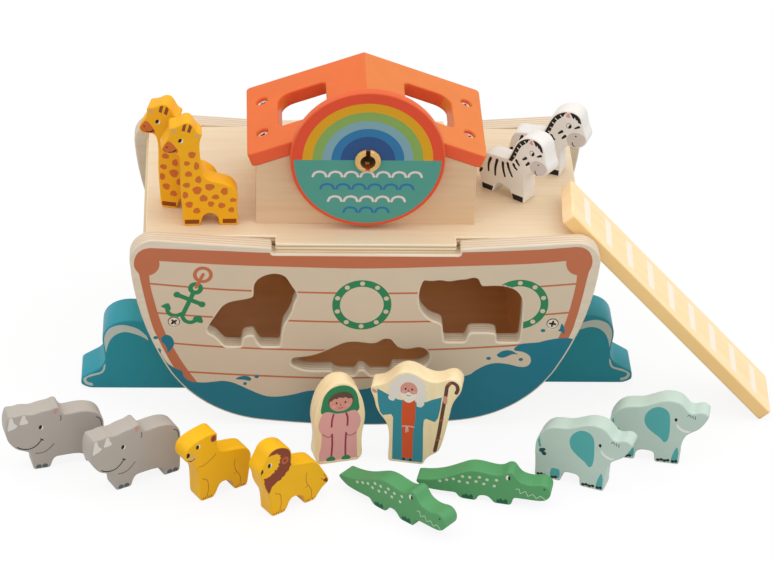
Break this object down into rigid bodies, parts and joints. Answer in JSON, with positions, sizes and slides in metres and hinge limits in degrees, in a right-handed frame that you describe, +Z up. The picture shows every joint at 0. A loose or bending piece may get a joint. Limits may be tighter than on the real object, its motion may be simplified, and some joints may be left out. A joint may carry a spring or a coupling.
{
  "type": "toy ark play set",
  "caption": "Wooden toy ark: rounded plywood hull with animal-shaped cut-outs, lift-off deck with a cabin, turning weather disc, ramp, wave blocks and loose animal and people figures.",
  "frame": {"origin": "on the table under the middle of the hull", "axes": "+X to the right along the hull, +Y from the printed front to the rear, +Z up"},
  "size_m": [0.5265, 0.2964, 0.251],
  "materials": {
    "ply": "birch plywood, printed and lacquered face",
    "deck_wood": "bare lacquered birch ply",
    "cabin_wood": "bare lacquered wood",
    "roof_paint": "satin paint",
    "disc_paint": "printed and satin lacquered",
    "wave_paint": "satin paint",
    "peg_wood": "bare turned wood",
    "ramp_wood": "bare lacquered wood",
    "steel": "zinc plated",
    "rhino_paint": "satin paint",
    "lion_paint": "satin paint",
    "crocodile_paint": "satin paint",
    "elephant_paint": "satin paint",
    "giraffe_paint": "satin paint",
    "zebra_paint": "satin paint",
    "people_wood": "bare lacquered wood with print"
  },
  "bodies": {
    "hull": {"front_hull_panel": "ply", "rear_hull_panel": "ply", "left_end_board": "ply", "right_end_board": "ply", "floor_board": "deck_wood", "hull_screws": "steel", "left_wave_block": "wave_paint", "right_wave_block": "wave_paint", "wave_dowels": "peg_wood"},
    "lid": {"deck_lid": "deck_wood", "cabin_front_wall": "cabin_wood", "cabin_left_wall": "cabin_wood", "cabin_right_wall": "cabin_wood", "cabin_screws": "steel", "roof_left_board": "roof_paint", "roof_right_board": "roof_paint", "roof_screws": "steel", "disc_peg": "peg_wood", "disc_washer": "peg_wood"},
    "disc": {"weather_disc": "disc_paint"},
    "ramp": {"ramp": "ramp_wood"},
    "rhino_left": {"rhino_left": "rhino_paint"},
    "rhino_right": {"rhino_right": "rhino_paint"},
    "lioness": {"lioness": "lion_paint"},
    "lion": {"lion": "lion_paint"},
    "woman": {"woman": "people_wood"},
    "man": {"man": "people_wood"},
    "crocodile_left": {"crocodile_left": "crocodile_paint"},
    "crocodile_right": {"crocodile_right": "crocodile_paint"},
    "elephant_left": {"elephant_left": "elephant_paint"},
    "elephant_right": {"elephant_right": "elephant_paint"},
    "giraffe_front": {"giraffe_front": "giraffe_paint"},
    "giraffe_back": {"giraffe_back": "giraffe_paint"},
    "zebra_front": {"zebra_front": "zebra_paint"},
    "zebra_back": {"zebra_back": "zebra_paint"}
  },
  "joints": [
    {"name": "lid_lift", "type": "slide", "parent": "hull", "child": "lid", "axis": [0, 0, 1], "range_m": [0, 0.15]},
    {"name": "disc_spin", "type": "hinge", "parent": "lid", "child": "disc", "pos_m": [0, -0.0602, 0.19997], "axis": [0, 1, 0], "continuous": true},
    {"name": "ramp_lift", "type": "slide", "parent": "lid", "child": "ramp", "axis": [0.7268, -0.0419, 0.6856], "range_m": [0, 0.08]},
    {"name": "rhino_left_lift", "type": "slide", "parent": "hull", "child": "rhino_left", "axis": [0, 0, 1], "range_m": [0, 0.1]},
    {"name": "rhino_right_lift", "type": "slide", "parent": "hull", "child": "rhino_right", "axis": [0, 0, 1], "range_m": [0, 0.1]},
    {"name": "lioness_lift", "type": "slide", "parent": "hull", "child": "lioness", "axis": [0, 0, 1], "range_m": [0, 0.1]},
    {"name": "lion_lift", "type": "slide", "parent": "hull", "child": "lion", "axis": [0, 0, 1], "range_m": [0, 0.1]},
    {"name": "woman_lift", "type": "slide", "parent": "hull", "child": "woman", "axis": [0, 0, 1], "range_m": [0, 0.1]},
    {"name": "man_lift", "type": "slide", "parent": "hull", "child": "man", "axis": [0, 0, 1], "range_m": [0, 0.1]},
    {"name": "crocodile_left_lift", "type": "slide", "parent": "hull", "child": "crocodile_left", "axis": [0, 0, 1], "range_m": [0, 0.1]},
    {"name": "crocodile_right_lift", "type": "slide", "parent": "hull", "child": "crocodile_right", "axis": [0, 0, 1], "range_m": [0, 0.1]},
    {"name": "elephant_left_lift", "type": "slide", "parent": "hull", "child": "elephant_left", "axis": [0, 0, 1], "range_m": [0, 0.1]},
    {"name": "elephant_right_lift", "type": "slide", "parent": "hull", "child": "elephant_right", "axis": [0, 0, 1], "range_m": [0, 0.1]},
    {"name": "giraffe_front_lift", "type": "slide", "parent": "lid", "child": "giraffe_front", "axis": [0, 0, 1], "range_m": [0, 0.1]},
    {"name": "giraffe_back_lift", "type": "slide", "parent": "lid", "child": "giraffe_back", "axis": [0, 0, 1], "range_m": [0, 0.1]},
    {"name": "zebra_front_lift", "type": "slide", "parent": "lid", "child": "zebra_front", "axis": [0.5, 0, 0.866], "range_m": [0, 0.1]},
    {"name": "zebra_back_lift", "type": "slide", "parent": "lid", "child": "zebra_back", "axis": [0.5, 0, 0.866], "range_m": [0, 0.1]}
  ]
}
